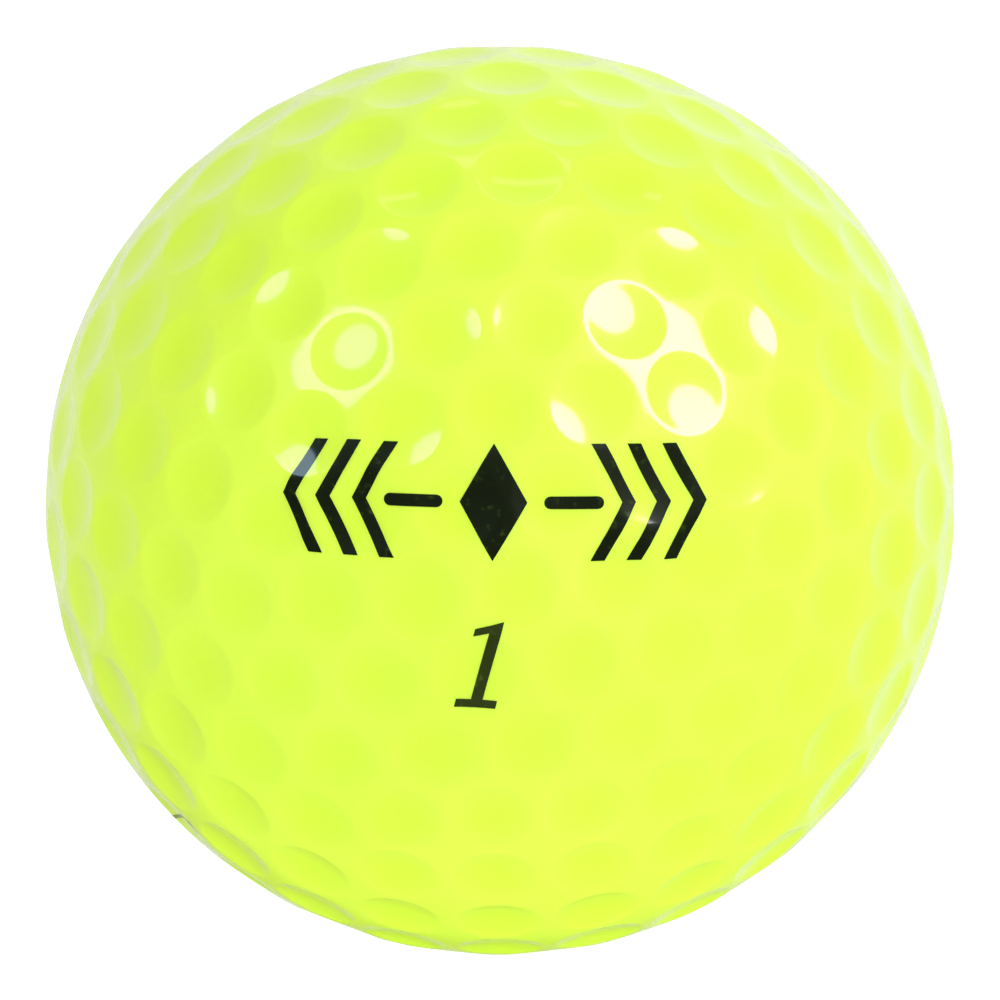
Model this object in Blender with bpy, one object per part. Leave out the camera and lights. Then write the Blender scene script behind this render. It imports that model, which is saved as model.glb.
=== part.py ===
"""Golf ball of three layers: a solid rubber core, a mantle moulded as two cups round it, and a dimpled
cover moulded as two cups round the mantle. Every piece is its own closed solid.

The origin is the ball's centre. The front pole points along -Y, the two cups of each layer meet in
the plane Y = 0, and +Z is up. The dimples stand in evenly spaced rings round the pole, and crowded
ones are then moved apart. The back half mirrors the front half, and the widest ring lies across the
parting plane.
"""

from math import cos, pi, radians, sin

import bmesh
import bpy
import numpy as np
from mathutils import Vector

BALL_RADIUS = 0.02135
COVER_THICKNESS = 0.00155
MANTLE_THICKNESS = 0.0015
LAYER_GAP = 0.0003

# A dimple's rim is this share of the angle to the nearest dimple away from its centre, up to a limit.
DIMPLE_SHARE = 0.46
LARGEST_DIMPLE = radians(5.55)
DIMPLE_DEPTH = 0.00021  # below the flat disc that spans the rim
RIM_POINTS = 10
FLOOR_RATIO = 0.58  # radius of the ring of points inside a dimple, against its rim's

RING_COUNTS = (1, 6, 12, 18, 21, 24, 27, 27, 27)  # dimples in each ring, from pole to parting plane
RING_TURN = radians(6.0)  # turns all the rings round the pole, from +Z towards -X
EVENING_STEPS = 60  # small moves that push crowded dimples apart
EVENING_REACH = 0.003
EVENING_POWER = 10

SPHERE_SEGMENTS = 32
SPHERE_RINGS = 16

COVER_COLOUR = (0.72, 0.95, 0.08, 1.0)
MANTLE_COLOUR = (0.80, 0.79, 0.72, 1.0)
CORE_COLOUR = (0.05, 0.22, 0.30, 1.0)


def clear_scene():
    for obj in list(bpy.data.objects):
        bpy.data.objects.remove(obj, do_unlink=True)


def collection(name):
    group = bpy.data.collections.new(name)
    bpy.context.scene.collection.children.link(group)
    return group


def plastic(name, colour, roughness):
    material = bpy.data.materials.new(name)
    material.use_nodes = True
    shader = material.node_tree.nodes["Principled BSDF"]
    shader.inputs["Base Color"].default_value = colour
    shader.inputs["Roughness"].default_value = roughness
    shader.inputs["Metallic"].default_value = 0.0
    return material


def ring_points(ring, count):
    """Unit vectors to one ring's dimples, front half. Every second ring starts half a step on."""
    tilt = pi / 2 * ring / (len(RING_COUNTS) - 1)
    points = []
    for k in range(count):
        turned = RING_TURN + 2 * pi * (k + ring % 2 / 2) / count
        points.append((-sin(tilt) * sin(turned), -cos(tilt), sin(tilt) * cos(turned)))
    return points


def evened(points):
    """The unit vectors after each one has moved a little way from its close neighbours."""
    for step in range(EVENING_STEPS):
        apart = points[:, None] - points[None]
        squared = (apart**2).sum(-1) + np.eye(len(points)) * 1e9
        push = (apart / squared[..., None] ** ((EVENING_POWER + 2) / 2)).sum(1)
        push -= (push * points).sum(1)[:, None] * points
        reach = EVENING_REACH * (1 - step / EVENING_STEPS)
        points = points + push / np.abs(push).max() * reach
        points /= np.linalg.norm(points, axis=1)[:, None]
    return points


def dimple_centres():
    rings = [ring_points(ring, count) for ring, count in enumerate(RING_COUNTS)]
    front = [point for ring in rings[:-1] for point in ring]
    widest = rings[-1]
    back = [(x, -y, z) for x, y, z in front]
    return evened(np.array(front + widest + back))


def dimple_angles(centres):
    """How far each dimple's rim is from its centre, seen from the ball's centre."""
    nearest = np.arccos(np.sort(centres @ centres.T, axis=1)[:, -2])
    return np.minimum(DIMPLE_SHARE * nearest, LARGEST_DIMPLE)


def dimpled_ball():
    """A closed ball whose lands join the dimples' rims, with each rim filled by a shallow bowl."""
    centres = dimple_centres()
    angles = dimple_angles(centres)
    bm = bmesh.new()
    owner = {}
    for index, (point, angle) in enumerate(zip(centres, angles)):
        centre = Vector(point)
        side = centre.orthogonal().normalized()
        across = centre.cross(side)
        for k in range(RIM_POINTS):
            turn = 2 * pi * k / RIM_POINTS
            spread = (side * cos(turn) + across * sin(turn)) * sin(angle)
            vert = bm.verts.new((centre * cos(angle) + spread) * BALL_RADIUS)
            owner[vert] = index
    bmesh.ops.convex_hull(bm, input=bm.verts, use_existing_faces=False)

    discs = {}
    for face in bm.faces:
        owners = {owner[vert] for vert in face.verts}
        if len(owners) == 1:
            discs.setdefault(owners.pop(), []).append(face)
    caps = {}
    for index, faces in discs.items():
        caps[index] = bmesh.ops.dissolve_faces(bm, faces=faces)["region"]

    floor_depth = DIMPLE_DEPTH * (1 - FLOOR_RATIO**2)
    bmesh.ops.recalc_face_normals(bm, faces=bm.faces)
    for index, cap in caps.items():
        rim_radius = BALL_RADIUS * sin(angles[index])
        inset = rim_radius * cos(pi / RIM_POINTS) * (1 - FLOOR_RATIO)
        bmesh.ops.inset_individual(bm, faces=cap, thickness=inset, depth=-floor_depth)
        bmesh.ops.poke(bm, faces=cap, offset=floor_depth - DIMPLE_DEPTH)

    mesh = bpy.data.meshes.new("dimpled_ball")
    bm.to_mesh(mesh)
    bm.free()
    return mesh


def sphere_mesh(name, radius):
    bm = bmesh.new()
    bmesh.ops.create_uvsphere(
        bm, u_segments=SPHERE_SEGMENTS, v_segments=SPHERE_RINGS, radius=radius
    )
    mesh = bpy.data.meshes.new(name)
    bm.to_mesh(mesh)
    bm.free()
    return mesh


def cutter(name, mesh, group):
    obj = bpy.data.objects.new(name, mesh)
    obj.hide_render = True
    obj.display_type = "WIRE"
    group.objects.link(obj)
    return obj


def side_box(name, direction, group):
    """A box that holds everything on one side of the parting plane, half a gap away from it."""
    size = 3 * BALL_RADIUS
    bm = bmesh.new()
    bmesh.ops.create_cube(bm, size=size)
    mesh = bpy.data.meshes.new(name)
    bm.to_mesh(mesh)
    bm.free()
    box = cutter(name, mesh, group)
    box.location.y = direction * (size + LAYER_GAP) / 2
    return box


def cup(name, mesh, side, cavity, material, group):
    """Half of a hollow ball: the solid ball kept on one side, less the ball that fills it."""
    obj = bpy.data.objects.new(name, mesh.copy())
    obj.data.materials.append(material)
    group.objects.link(obj)
    for operation, tool in (("INTERSECT", side), ("DIFFERENCE", cavity)):
        cut = obj.modifiers.new(tool.name, "BOOLEAN")
        cut.operation = operation
        cut.solver = "EXACT"
        cut.object = tool
    return obj


def ball(name, radius, material, group):
    obj = bpy.data.objects.new(name, sphere_mesh(name, radius))
    obj.data.materials.append(material)
    obj.data.shade_smooth()
    group.objects.link(obj)
    return obj


def build():
    clear_scene()
    parts = collection("golf_ball")
    cutters = collection("cutters")

    cover_inside = BALL_RADIUS - COVER_THICKNESS
    mantle_outside = cover_inside - LAYER_GAP
    mantle_inside = mantle_outside - MANTLE_THICKNESS
    core_radius = mantle_inside - LAYER_GAP

    cover_plastic = plastic("cover", COVER_COLOUR, 0.12)
    mantle_plastic = plastic("mantle", MANTLE_COLOUR, 0.4)
    core_rubber = plastic("core", CORE_COLOUR, 0.6)

    cover_cavity = cutter("cover_cavity", sphere_mesh("cover_cavity", cover_inside), cutters)
    mantle_cavity = cutter("mantle_cavity", sphere_mesh("mantle_cavity", mantle_inside), cutters)
    dimpled = dimpled_ball()
    smooth = sphere_mesh("mantle_ball", mantle_outside)
    smooth.shade_smooth()

    ball("core", core_radius, core_rubber, parts)
    for half, direction in (("front", -1), ("back", 1)):
        side = side_box(half + "_side", direction, cutters)
        cup("mantle_" + half, smooth, side, mantle_cavity, mantle_plastic, parts)
        cup("cover_" + half, dimpled, side, cover_cavity, cover_plastic, parts)


build()
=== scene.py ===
"""Looks of the golf ball: one moulded, dimpled neon yellow cover under a clear coat, pad-printed ink
marks on both poles and one across the parting line, and finished core and mantle inside.

Lengths are metres unless a name says otherwise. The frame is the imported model's: origin at the ball's
centre, front pole along -Y, +Z up.
"""

from math import cos, pi, radians, sin, sqrt

import bmesh
import bpy
import numpy as np
from mathutils import Matrix, Vector


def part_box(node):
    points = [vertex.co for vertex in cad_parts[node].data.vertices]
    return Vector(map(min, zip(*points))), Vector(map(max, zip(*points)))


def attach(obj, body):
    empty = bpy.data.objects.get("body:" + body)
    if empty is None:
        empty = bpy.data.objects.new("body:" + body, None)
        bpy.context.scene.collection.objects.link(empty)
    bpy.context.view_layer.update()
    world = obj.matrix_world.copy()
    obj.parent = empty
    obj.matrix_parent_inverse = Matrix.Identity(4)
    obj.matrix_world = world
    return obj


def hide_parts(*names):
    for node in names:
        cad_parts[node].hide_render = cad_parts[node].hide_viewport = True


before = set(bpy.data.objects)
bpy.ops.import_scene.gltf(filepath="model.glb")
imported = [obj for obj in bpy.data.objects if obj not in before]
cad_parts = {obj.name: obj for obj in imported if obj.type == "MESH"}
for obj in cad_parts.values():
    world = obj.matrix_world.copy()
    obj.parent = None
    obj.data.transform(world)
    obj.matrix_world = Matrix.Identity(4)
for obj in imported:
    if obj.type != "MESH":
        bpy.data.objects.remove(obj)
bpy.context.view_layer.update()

LAYER_GAP = 0.0003
COVER_THICKNESS = 0.00155
COVER_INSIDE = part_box("mantle_front")[1][0] + LAYER_GAP
BALL_RADIUS = COVER_INSIDE + COVER_THICKNESS

# ---------------------------------------------------------------- dimple layout, as in the CAD
RING_COUNTS = (1, 6, 12, 18, 21, 24, 27, 27, 27)  # dimples in each ring, from pole to parting plane
RING_TURN = radians(6.0)
EVENING_STEPS = 60
EVENING_REACH = 0.003
EVENING_POWER = 10

# ---------------------------------------------------------------- dimple profile
DIMPLE_SHARE = 0.46  # of the angle to the nearest dimple
LARGEST_DIMPLE = radians(5.55)
DIMPLE_DEPTH = 0.00021  # below the flat disc that spans the rim
RIM_ROUNDING = 0.00005  # how far from the sharp edge, in depth, the rim starts to round over
RING_STEPS = (0.2, 0.4, 0.58, 0.74, 0.86, 0.93, 0.97, 1.0, 1.03, 1.065)
RING_POINTS = 28

# ---------------------------------------------------------------- ink
INK_LIFT = 0.000012  # how far the film stands proud of the cover, and how far it is sunk into it
INK_CELL = 0.00012  # the film follows the dimples in steps of this size
MARK_PLACE_MM = (-1.05, 3.95)  # right and up from the pole
MARK_TURN = radians(-1.0)
NUMERAL_PLACE_MM = (-1.35, -3.8)
NUMERAL_TURN = radians(-2.0)
STAMP_ANGLE = radians(46.5)  # of the side stamp round the pole from straight down, towards -X
STAMP_COLATITUDE = radians(86)


def ring_points(ring, count):
    """Unit vectors to one ring's dimples, front half. Every second ring starts half a step on."""
    tilt = pi / 2 * ring / (len(RING_COUNTS) - 1)
    points = []
    for k in range(count):
        turned = RING_TURN + 2 * pi * (k + ring % 2 / 2) / count
        points.append((-sin(tilt) * sin(turned), -cos(tilt), sin(tilt) * cos(turned)))
    return points


def evened(points):
    """The unit vectors after each one has moved a little way from its close neighbours."""
    for step in range(EVENING_STEPS):
        apart = points[:, None] - points[None]
        squared = (apart**2).sum(-1) + np.eye(len(points)) * 1e9
        push = (apart / squared[..., None] ** ((EVENING_POWER + 2) / 2)).sum(1)
        push -= (push * points).sum(1)[:, None] * points
        reach = EVENING_REACH * (1 - step / EVENING_STEPS)
        points = points + push / np.abs(push).max() * reach
        points /= np.linalg.norm(points, axis=1)[:, None]
    return points


def dimple_centres():
    """Unit vectors to all dimples: the front's rings, the widest ring, and the front mirrored."""
    rings = [ring_points(ring, count) for ring, count in enumerate(RING_COUNTS)]
    front = [point for ring in rings[:-1] for point in ring]
    widest = rings[-1]
    back = [(x, -y, z) for x, y, z in front]
    return evened(np.array(front + widest + back))


def dimple_angles(centres):
    """How far each dimple's rim is from its centre, seen from the ball's centre."""
    nearest = np.arccos(np.sort(centres @ centres.T, axis=1)[:, -2])
    return np.minimum(DIMPLE_SHARE * nearest, LARGEST_DIMPLE)


CENTRES = dimple_centres()
RIM_RADII = BALL_RADIUS * np.sin(dimple_angles(CENTRES))


def height(off_axis, rim):
    """Height along a dimple's axis at a distance from it: the lower of land and bowl, rounded over."""
    land = np.sqrt(BALL_RADIUS**2 - off_axis**2)
    bowl = np.sqrt(BALL_RADIUS**2 - rim**2) - DIMPLE_DEPTH * (1 - (off_axis / rim) ** 2)
    share = np.clip(0.5 + 0.5 * (land - bowl) / RIM_ROUNDING, 0, 1)
    return land + (bowl - land) * share - RIM_ROUNDING * share * (1 - share)


def slope(off_axis, rim):
    """How steeply the height changes with the distance from the axis."""
    step = 1e-7
    low = np.maximum(off_axis - step, 0)
    return (height(off_axis + step, rim) - height(low, rim)) / (off_axis + step - low)


def surface(directions, lift=0.0):
    """Points of the dimpled surface along the given unit vectors, with their normals and how deep in
    a dimple each one is, from 0 on the land to 1 at a dimple's centre."""
    directions = np.asarray(directions, float)
    nearest = np.argmax(directions @ CENTRES.T, axis=1)
    axis = CENTRES[nearest]
    rim = RIM_RADII[nearest]
    along = (directions * axis).sum(1)
    across = directions - axis * along[:, None]
    length = np.linalg.norm(across, axis=1)
    outward = across / np.maximum(length, 1e-12)[:, None]
    ray_slope = length / along
    off_axis = BALL_RADIUS * length
    for _ in range(6):  # the point on the profile that lies on the ray
        off_axis = height(off_axis, rim) * ray_slope
    up = height(off_axis, rim)
    normals = axis - outward * slope(off_axis, rim)[:, None]
    normals /= np.linalg.norm(normals, axis=1)[:, None]
    points = outward * off_axis[:, None] + axis * up[:, None] + normals * lift
    depth = np.clip(1 - (off_axis / rim) ** 2, 0, 1)
    return points, normals, depth


def shaded_mesh(name, points, faces, normals, depth):
    mesh = bpy.data.meshes.new(name)
    mesh.from_pydata(points.tolist(), [], faces)
    mesh.validate()
    mesh.shade_smooth()
    mesh.normals_split_custom_set_from_vertices(normals.tolist())
    mesh.attributes.new("dimple_depth", "FLOAT", "POINT").data.foreach_set("value", depth)
    obj = bpy.data.objects.new(name, mesh)
    bpy.context.scene.collection.objects.link(obj)
    return obj


def land_faces(rims):
    """The faces that join the dimples' outermost circles: the hull of those circles, less its discs."""
    bm = bmesh.new()
    index = {bm.verts.new(point): i for i, point in enumerate(rims)}
    bmesh.ops.convex_hull(bm, input=bm.verts, use_existing_faces=False)
    faces = []
    for face in bm.faces:
        ids = [index[vert] for vert in face.verts]
        if len({i // RING_POINTS for i in ids}) > 1:
            outward = face.normal.dot(face.calc_center_median()) > 0
            faces.append(ids if outward else ids[::-1])
    bm.free()
    return faces


def build_cover():
    """The moulded cover: rings of points round every dimple, land between them, and a round inside."""
    turns = np.arange(RING_POINTS) * 2 * pi / RING_POINTS
    directions = []
    for centre, rim in zip(CENTRES, RIM_RADII):
        axis = Vector(centre)
        side = np.array(axis.orthogonal().normalized())
        over = np.cross(centre, side)
        spokes = np.cos(turns)[:, None] * side + np.sin(turns)[:, None] * over
        off_axis = np.array(RING_STEPS) * rim
        directions.append(centre)
        for distance, up in zip(off_axis, height(off_axis, rim)):
            directions += list(spokes * distance + centre * up)
    directions = np.array(directions)
    directions /= np.linalg.norm(directions, axis=1)[:, None]
    points, normals, depth = surface(directions)

    rings = len(RING_STEPS)
    block = 1 + rings * RING_POINTS
    faces = []
    rims = []
    for d in range(len(CENTRES)):
        start = d * block
        for k in range(RING_POINTS):
            after = (k + 1) % RING_POINTS
            faces.append((start, start + 1 + k, start + 1 + after))
            for r in range(rings - 1):
                inner = start + 1 + r * RING_POINTS
                outer = inner + RING_POINTS
                faces.append((inner + k, outer + k, outer + after, inner + after))
        rims += range(start + 1 + (rings - 1) * RING_POINTS, start + block)
    faces += [[rims[i] for i in ids] for ids in land_faces(points[rims].tolist())]

    inside = bmesh.new()
    bmesh.ops.create_icosphere(inside, subdivisions=4, radius=COVER_INSIDE)
    first = len(points)
    faces += [[first + v.index for v in reversed(face.verts)] for face in inside.faces]
    inner_points = np.array([v.co for v in inside.verts])
    inside.free()
    points = np.vstack([points, inner_points])
    normals = np.vstack([normals, -inner_points / COVER_INSIDE])
    depth = np.concatenate([depth, np.zeros(len(inner_points))])
    return shaded_mesh("moulded_cover", points, faces, normals, depth)


# ---------------------------------------------------------------- printed marks, drawn in millimetres
def rounded_bar(left, right, low, high, corner_points=4):
    """A bar with half-round ends, as a convex outline."""
    radius = (high - low) / 2
    middle = (high + low) / 2
    outline = []
    for end, start in ((right - radius, -pi / 2), (left + radius, pi / 2)):
        for k in range(2 * corner_points + 1):
            turn = start + pi * k / (2 * corner_points)
            outline.append((end + radius * cos(turn), middle + radius * sin(turn)))
    return outline


def chevron(tip, reach, rise, width):
    """Two strokes that meet in a point at (tip, 0), as convex outlines that share the mitre."""
    upper = [(tip - width, 0), (tip, 0), (tip - reach, rise), (tip - reach - width, rise)]
    lower = [(x, -y) for x, y in reversed(upper)]
    return [upper, lower]


def mirrored(outlines):
    return [[(-x, y) for x, y in reversed(outline)] for outline in outlines]


def alignment_mark():
    half = [rounded_bar(2.4, 5.2, -0.3, 0.3)]
    for tip in (6.8, 8.55, 10.3):
        half += chevron(tip, 1.5, 2.75, 0.7)
    diamond = [(-1.6, 0), (0, -2.75), (1.6, 0), (0, 2.75)]
    return half + mirrored(half) + [diamond]


def numeral_one():
    """A slanted figure 1 with a flag and a foot."""
    stem = [(-0.3, -1.8), (0.26, -1.8), (0.26, 1.75), (-0.3, 1.6)]
    flag = [(-1.0, 1.4), (0.26, 1.75), (0.26, 2.15), (-1.0, 1.78)]
    foot = [(-1.0, -2.18), (0.95, -2.18), (0.95, -1.8), (-1.0, -1.8)]
    lean = 0.22
    return [[(x + lean * y, y) for x, y in outline] for outline in (stem, flag, foot)]


def side_stamp():
    """A short alignment line between two rows of small chevrons."""
    heads = []
    for tip in (3.7, 4.35, 5.0):
        heads += chevron(tip, 0.6, 0.8, 0.17)
    return [rounded_bar(-2.7, 2.7, -0.1, 0.1)] + heads + mirrored(heads)


def shape_cells(outline):
    """A fine square grid cut to a convex outline, in millimetres."""
    cell = INK_CELL * 1000
    xs = [x for x, _ in outline]
    ys = [y for _, y in outline]
    bm = bmesh.new()
    columns = int((max(xs) - min(xs)) / cell) + 2
    rows = int((max(ys) - min(ys)) / cell) + 2
    bmesh.ops.create_grid(bm, x_segments=columns, y_segments=rows, size=0.5)
    middle = Vector(((max(xs) + min(xs)) / 2, (max(ys) + min(ys)) / 2, 0))
    for vert in bm.verts:
        vert.co.x *= columns * cell
        vert.co.y *= rows * cell
        vert.co += middle
    for (ax, ay), (bx, by) in zip(outline, outline[1:] + outline[:1]):
        outside = Vector((by - ay, ax - bx, 0)).normalized()
        bmesh.ops.bisect_plane(
            bm, geom=bm.verts[:] + bm.edges[:] + bm.faces[:], dist=1e-6,
            plane_co=(ax, ay, 0), plane_no=outside, clear_outer=True,
        )
    return bm


def ink(name, outlines, offset_mm, turn, place):
    """A film of ink on the ball. place turns a unit vector near the front pole to where it goes."""
    points, faces, walls = [], [], []
    for outline in outlines:
        bm = shape_cells(outline)
        bmesh.ops.remove_doubles(bm, verts=bm.verts, dist=1e-4)
        bm.verts.index_update()
        first = len(points)
        points += [(v.co.x, v.co.y) for v in bm.verts]
        faces += [[first + v.index for v in face.verts] for face in bm.faces]
        for edge in bm.edges:
            if edge.is_boundary:
                loop = edge.link_loops[0]
                walls.append((first + loop.vert.index, first + loop.link_loop_next.vert.index))
        bm.free()
    flat = np.array(points) / 1000
    flat = flat @ np.array([[cos(turn), sin(turn)], [-sin(turn), cos(turn)]]) + np.array(offset_mm) / 1000
    reach = np.linalg.norm(flat, axis=1)
    angle = reach / BALL_RADIUS
    side = np.sin(angle) / np.maximum(reach, 1e-12)
    directions = np.column_stack([flat[:, 0] * side, -np.cos(angle), flat[:, 1] * side])
    directions = directions @ np.array(place.to_3x3()).T
    top, normals, depth = surface(directions, INK_LIFT)
    foot, _, _ = surface(directions, -INK_LIFT)
    count = len(top)
    faces += [(b, a, a + count, b + count) for a, b in walls]
    used = sorted({i for face in faces for i in face})
    where = {old: new for new, old in enumerate(used)}
    faces = [[where[i] for i in face] for face in faces]
    both = np.vstack([top, foot])[used]
    return shaded_mesh(
        name, both, faces, np.vstack([normals, normals])[used], np.concatenate([depth, depth])[used]
    )


# ---------------------------------------------------------------- materials
def new_material(name):
    material = bpy.data.materials.new(name)
    material.use_nodes = True
    nodes = material.node_tree.nodes
    return material, nodes, material.node_tree.links, nodes["Principled BSDF"]


def noise(nodes, links, scale, detail):
    place = nodes.new("ShaderNodeTexCoord")
    node = nodes.new("ShaderNodeTexNoise")
    node.inputs["Scale"].default_value = scale
    node.inputs["Detail"].default_value = detail
    links.new(place.outputs["Object"], node.inputs["Vector"])
    return node.outputs["Fac"]


def blend_colours(nodes, links, factor, first, second):
    mix = nodes.new("ShaderNodeMix")
    mix.data_type = "RGBA"
    links.new(factor, mix.inputs["Factor"])
    for socket, colour in (("A", first), ("B", second)):
        target = [s for s in mix.inputs if s.name == socket and s.type == "RGBA"][0]
        if isinstance(colour, tuple):
            target.default_value = colour
        else:
            links.new(colour, target)
    return [s for s in mix.outputs if s.type == "RGBA"][0]


def remap(nodes, links, value, low, high, to_low, to_high):
    node = nodes.new("ShaderNodeMapRange")
    links.new(value, node.inputs["Value"])
    for name, number in (("From Min", low), ("From Max", high), ("To Min", to_low), ("To Max", to_high)):
        node.inputs[name].default_value = number
    return node.outputs["Result"]


def bump(nodes, links, fine_height, strength, distance):
    node = nodes.new("ShaderNodeBump")
    node.inputs["Strength"].default_value = strength
    node.inputs["Distance"].default_value = distance
    links.new(fine_height, node.inputs["Height"])
    return node.outputs["Normal"]


def add_clear_coat(nodes, links, shader):
    """The glossy film over cover and ink, with a faint ripple."""
    shader.inputs["Coat Weight"].default_value = 1.0
    shader.inputs["Coat Roughness"].default_value = 0.09
    shader.inputs["Coat IOR"].default_value = 1.52
    ripple = noise(nodes, links, 260, 2)
    links.new(bump(nodes, links, ripple, 0.05, 0.0002), shader.inputs["Coat Normal"])


def cover_material():
    """Neon plastic that lets light in a little way, with a painted faint glow and painted shade that
    makes the dimples darker than the paler lands.
    """
    material, nodes, links, shader = new_material("neon_cover")
    depth = nodes.new("ShaderNodeAttribute")
    depth.attribute_name = "dimple_depth"
    cloud = noise(nodes, links, 90, 2)
    lands = blend_colours(nodes, links, remap(nodes, links, cloud, 0.35, 0.65, 0, 1),
                          (0.685, 0.97, 0.090, 1), (0.72, 0.985, 0.108, 1))
    # Painted shade: towards each dimple's centre the colour turns darker and greener, where the bowl lies
    # in shade.
    painted_dimple_shade = remap(nodes, links, depth.outputs["Fac"], 0.0, 1.0, 0.0, 0.8)
    colour = blend_colours(nodes, links, painted_dimple_shade, lands, (0.677, 0.955, 0.068, 1))
    links.new(colour, shader.inputs["Base Color"])
    shader.inputs["Roughness"].default_value = 0.35
    shader.inputs["IOR"].default_value = 1.5
    shader.inputs["Specular IOR Level"].default_value = 0.2
    shader.inputs["Subsurface Weight"].default_value = 0.6
    shader.inputs["Subsurface Radius"].default_value = (1.0, 1.0, 0.25)
    shader.inputs["Subsurface Scale"].default_value = 0.0012
    # Painted glow: the cover gives off light of its own, standing in for the pigment's fluorescence and
    # evening out the shading.
    shader.inputs["Emission Color"].default_value = (0.72, 1.0, 0.02, 1)
    shader.inputs["Emission Strength"].default_value = 0.22
    add_clear_coat(nodes, links, shader)
    return material


def ink_material(name, colour, speck_colour):
    """Matt ink under the clear coat, with thin spots that let the cover's colour through."""
    material, nodes, links, shader = new_material(name)
    mottle = remap(nodes, links, noise(nodes, links, 2600, 4), 0.60, 0.78, 0, 1)
    links.new(blend_colours(nodes, links, mottle, colour, speck_colour), shader.inputs["Base Color"])
    shader.inputs["Roughness"].default_value = 0.45
    shader.inputs["Specular IOR Level"].default_value = 0.2
    add_clear_coat(nodes, links, shader)
    return material


def core_material():
    """Ground rubber: fine sanding marks, scattered regrind specks and a dusty sheen."""
    material, nodes, links, shader = new_material("core_rubber")
    specks = remap(nodes, links, noise(nodes, links, 1400, 2), 0.62, 0.70, 0, 1)
    cloud = blend_colours(nodes, links, noise(nodes, links, 160, 5),
                          (0.035, 0.17, 0.22, 1), (0.06, 0.25, 0.31, 1))
    colour = blend_colours(nodes, links, specks, cloud, (0.30, 0.42, 0.42, 1))
    links.new(colour, shader.inputs["Base Color"])
    rough = remap(nodes, links, noise(nodes, links, 700, 3), 0.3, 0.7, 0.55, 0.85)
    links.new(rough, shader.inputs["Roughness"])
    links.new(bump(nodes, links, noise(nodes, links, 2200, 4), 0.5, 0.00008), shader.inputs["Normal"])
    return material


def mantle_material():
    """Milky ionomer: faint flow clouding and a satin moulded skin."""
    material, nodes, links, shader = new_material("mantle_ionomer")
    flow = noise(nodes, links, 120, 4)
    links.new(blend_colours(nodes, links, flow, (0.74, 0.73, 0.66, 1), (0.86, 0.85, 0.79, 1)),
              shader.inputs["Base Color"])
    rough = remap(nodes, links, noise(nodes, links, 500, 3), 0.3, 0.7, 0.30, 0.48)
    links.new(rough, shader.inputs["Roughness"])
    shader.inputs["Subsurface Weight"].default_value = 0.3
    shader.inputs["Subsurface Radius"].default_value = (1.0, 0.9, 0.7)
    shader.inputs["Subsurface Scale"].default_value = 0.001
    links.new(bump(nodes, links, noise(nodes, links, 900, 3), 0.15, 0.0001), shader.inputs["Normal"])
    return material


def floor_material():
    """Pale matt paper with faint clouding, lifted to white where the camera looks at it."""
    material, nodes, links, shader = new_material("studio_white")
    tone = blend_colours(nodes, links, noise(nodes, links, 6, 3),
                         (0.66, 0.66, 0.66, 1), (0.69, 0.69, 0.69, 1))
    links.new(tone, shader.inputs["Base Color"])
    shader.inputs["Roughness"].default_value = 0.9
    shader.inputs["Specular IOR Level"].default_value = 0.0
    seen = nodes.new("ShaderNodeLightPath")
    shader.inputs["Emission Color"].default_value = (1, 1, 1, 1)
    glow = remap(nodes, links, seen.outputs["Is Camera Ray"], 0, 1, FLOOR_GLOW, FLOOR_WHITE)
    links.new(glow, shader.inputs["Emission Strength"])
    return material


# ---------------------------------------------------------------- studio
CAMERA_AZIMUTH = radians(2.0)  # to the left of the front pole
CAMERA_HEIGHT_ANGLE = radians(10.9)
CAMERA_DISTANCE = 1.5
BALL_SHARE = 0.9102  # of the picture's height
SOFTBOX_DISTANCE = 0.6
FILL_DISTANCE = 0.9
FILL_SIZE = (0.9, 0.9)
FLOOR_GLOW = 0.59  # what the floor adds to the light on the ball from below
FLOOR_WHITE = 1.0  # lifts the floor to paper white where it is looked at
WORLD_FRONT = 0.04  # brightness of the studio around the camera, as the ball mirrors it
WORLD_BACK = 0.78
WORLD_SIDES = (0.97, 1.08)  # what the brightness is multiplied by on the left and on the right
WORLD_BELOW = (0.4, 0.9)  # the same for what lies under the ball, left and right
WORLD_BELOW_COLOUR = (0.85, 1.0, 0.15, 1)


def direction(azimuth, elevation):
    """A unit vector; azimuth is measured from -Y towards +X."""
    return Vector((sin(azimuth) * cos(elevation), -cos(azimuth) * cos(elevation), sin(elevation)))


def add_camera():
    data = bpy.data.cameras.new("camera")
    camera = bpy.data.objects.new("camera", data)
    bpy.context.scene.collection.objects.link(camera)
    towards = direction(-CAMERA_AZIMUTH, CAMERA_HEIGHT_ANGLE)
    camera.location = towards * CAMERA_DISTANCE
    camera.rotation_euler = towards.to_track_quat("Z", "Y").to_euler()
    seen_radius = BALL_RADIUS / sqrt(CAMERA_DISTANCE**2 - BALL_RADIUS**2)
    data.sensor_width = 36
    data.lens = BALL_SHARE / 2 * data.sensor_width / seen_radius
    data.clip_start = 0.01
    bpy.context.scene.camera = camera


def add_lamp(
    name, towards, distance, size, radiance, shape="RECTANGLE", tint=(1, 1, 1), diffuse=True, glossy=True
):
    """A flat lamp that faces the ball. size is its width and height, or a disc's two diameters."""
    data = bpy.data.lights.new(name, "AREA")
    data.shape = shape
    data.size, data.size_y = size
    data.color = tint
    data.energy = radiance * pi * data.size * data.size_y * (pi / 4 if shape == "ELLIPSE" else 1)
    lamp = bpy.data.objects.new(name, data)
    bpy.context.scene.collection.objects.link(lamp)
    lamp.location = towards * distance
    lamp.rotation_euler = towards.to_track_quat("Z", "Y").to_euler()
    lamp.visible_camera = False
    lamp.visible_diffuse = diffuse
    lamp.visible_glossy = glossy


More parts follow.
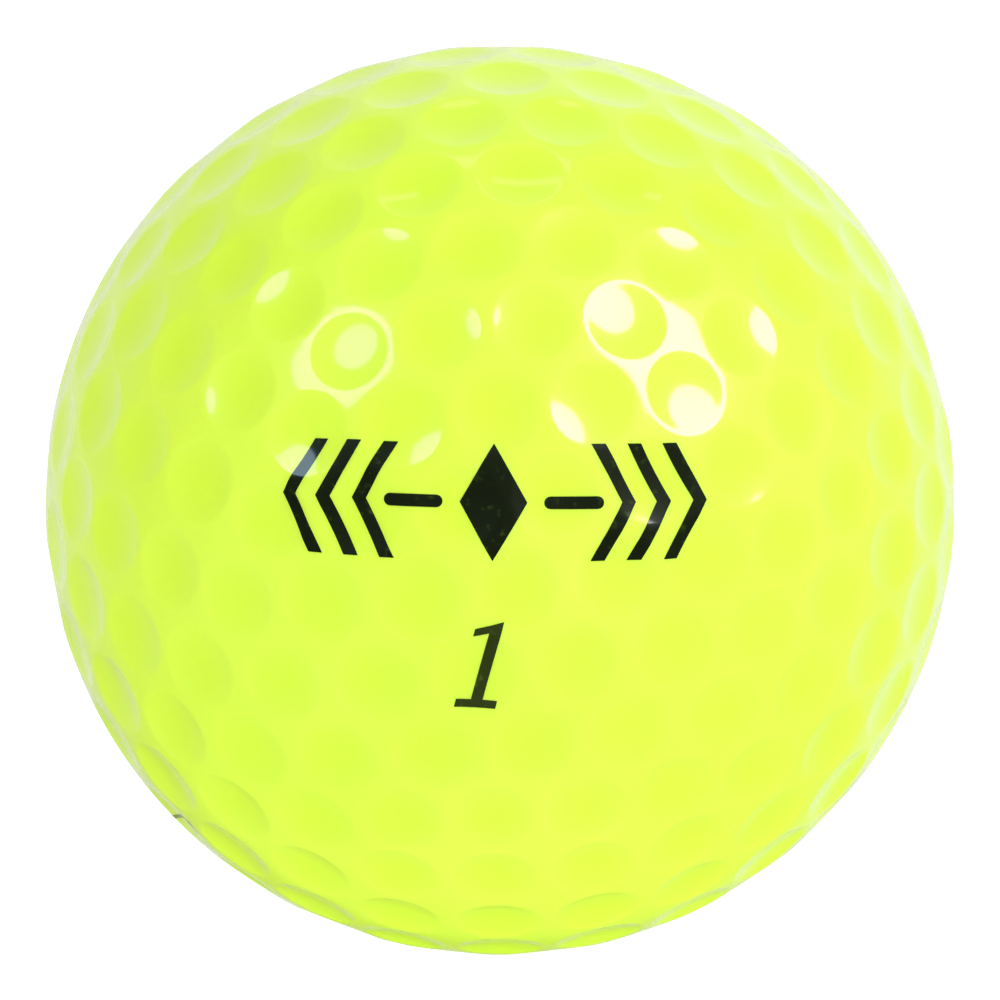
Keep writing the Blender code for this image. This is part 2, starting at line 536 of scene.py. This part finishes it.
def add_world():
    """A studio that is dim in front of the ball, pale behind it and brightest on the right. Underneath
    it is darker and yellow, as under a ball that lights its own floor. It is white to look at."""
    world = bpy.data.worlds.new("studio")
    world.use_nodes = True
    nodes, links = world.node_tree.nodes, world.node_tree.links
    ways = nodes.new("ShaderNodeTexCoord")
    split = nodes.new("ShaderNodeSeparateXYZ")
    links.new(ways.outputs["Generated"], split.inputs["Vector"])
    depth = nodes.new("ShaderNodeMath")
    depth.operation = "MULTIPLY"
    to_back = remap(nodes, links, split.outputs["Y"], 0.25, 0.95, WORLD_FRONT, WORLD_BACK)
    to_right = remap(nodes, links, split.outputs["X"], -0.15, 0.2, *WORLD_SIDES)
    links.new(to_back, depth.inputs[0])
    links.new(to_right, depth.inputs[1])
    below = remap(nodes, links, split.outputs["X"], 0.05, 0.35, *WORLD_BELOW)
    dimming = nodes.new("ShaderNodeMix")
    links.new(remap(nodes, links, split.outputs["Z"], -0.5, -0.2, 0, 1), dimming.inputs["Factor"])
    links.new(below, dimming.inputs["A"])
    dimming.inputs["B"].default_value = 1.0
    level = nodes.new("ShaderNodeMath")
    level.operation = "MULTIPLY"
    links.new(depth.outputs["Value"], level.inputs[0])
    links.new(dimming.outputs["Result"], level.inputs[1])
    seen = nodes.new("ShaderNodeLightPath")
    strength = nodes.new("ShaderNodeMix")
    links.new(seen.outputs["Is Camera Ray"], strength.inputs["Factor"])
    links.new(level.outputs["Value"], strength.inputs["A"])
    strength.inputs["B"].default_value = 1.0
    links.new(strength.outputs["Result"], nodes["Background"].inputs["Strength"])
    lowest = remap(nodes, links, split.outputs["Z"], -0.58, -0.40, 0, 1)
    tone = blend_colours(nodes, links, lowest, WORLD_BELOW_COLOUR, (1, 1, 1, 1))
    links.new(tone, nodes["Background"].inputs["Color"])
    bpy.context.scene.world = world


def add_floor():
    bm = bmesh.new()
    bmesh.ops.create_circle(bm, cap_ends=True, segments=96, radius=3.0)
    mesh = bpy.data.meshes.new("floor")
    bm.to_mesh(mesh)
    bm.free()
    floor = bpy.data.objects.new("floor", mesh)
    floor.location.z = -BALL_RADIUS
    floor.visible_glossy = False
    mesh.materials.append(floor_material())
    bpy.context.scene.collection.objects.link(floor)


# ---------------------------------------------------------------- build
bpy.context.scene.view_settings.view_transform = "Standard"

cover = build_cover()
cover.data.materials.append(cover_material())
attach(cover, "root")
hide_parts("cover_front", "cover_back")

black_ink = ink_material("black_ink", (0.006, 0.012, 0.0005, 1), (0.04, 0.08, 0.005, 1))
grey_ink = ink_material("grey_ink", (0.030, 0.050, 0.002, 1), (0.10, 0.16, 0.01, 1))
pale_ink = ink_material("pale_ink", (0.28, 0.38, 0.05, 1), (0.40, 0.52, 0.06, 1))

for side, turned in (("front", 0.0), ("back", pi)):
    place = Matrix.Rotation(turned, 4, "Z")
    mark = ink("mark_" + side, alignment_mark(), MARK_PLACE_MM, MARK_TURN, place)
    numeral = ink("numeral_" + side, numeral_one(), NUMERAL_PLACE_MM, NUMERAL_TURN, place)
    for piece, material in ((mark, black_ink), (numeral, grey_ink)):
        piece.data.materials.append(material)
        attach(piece, "root")
to_side = Matrix.Rotation(STAMP_ANGLE, 4, "Y") @ Matrix.Rotation(STAMP_COLATITUDE, 4, "X")
stamp = ink("side_stamp", side_stamp(), (0.0, 0.0), pi / 2, to_side)
stamp.data.materials.append(pale_ink)
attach(stamp, "root")

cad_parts["core"].data.materials[0] = core_material()
mantle = mantle_material()
for half in ("mantle_front", "mantle_back"):
    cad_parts[half].data.materials[0] = mantle

add_camera()
add_world()
add_floor()
add_lamp(
    "softbox_right", direction(radians(53), radians(41)), SOFTBOX_DISTANCE, (0.295, 0.295), 11.8,
    shape="ELLIPSE", diffuse=False,
)
add_lamp(
    "softbox_left", direction(radians(-55), radians(39)), SOFTBOX_DISTANCE, (0.25, 0.25), 5.5,
    shape="ELLIPSE", tint=(0.58, 0.8, 1.0), diffuse=False,
)
add_lamp(
    "strip_overhead", direction(radians(180), radians(75)), SOFTBOX_DISTANCE, (0.27, 0.05), 1.3,
    diffuse=False,
)
for name, azimuth, elevation, radiance in (
    ("fill_right", 57, 34, 2.1), ("fill_front", 0, 17, 0.15), ("fill_top", -34, 57, 1.8),
):
    towards = direction(radians(azimuth), radians(elevation))
    add_lamp(name, towards, FILL_DISTANCE, FILL_SIZE, radiance, glossy=False)
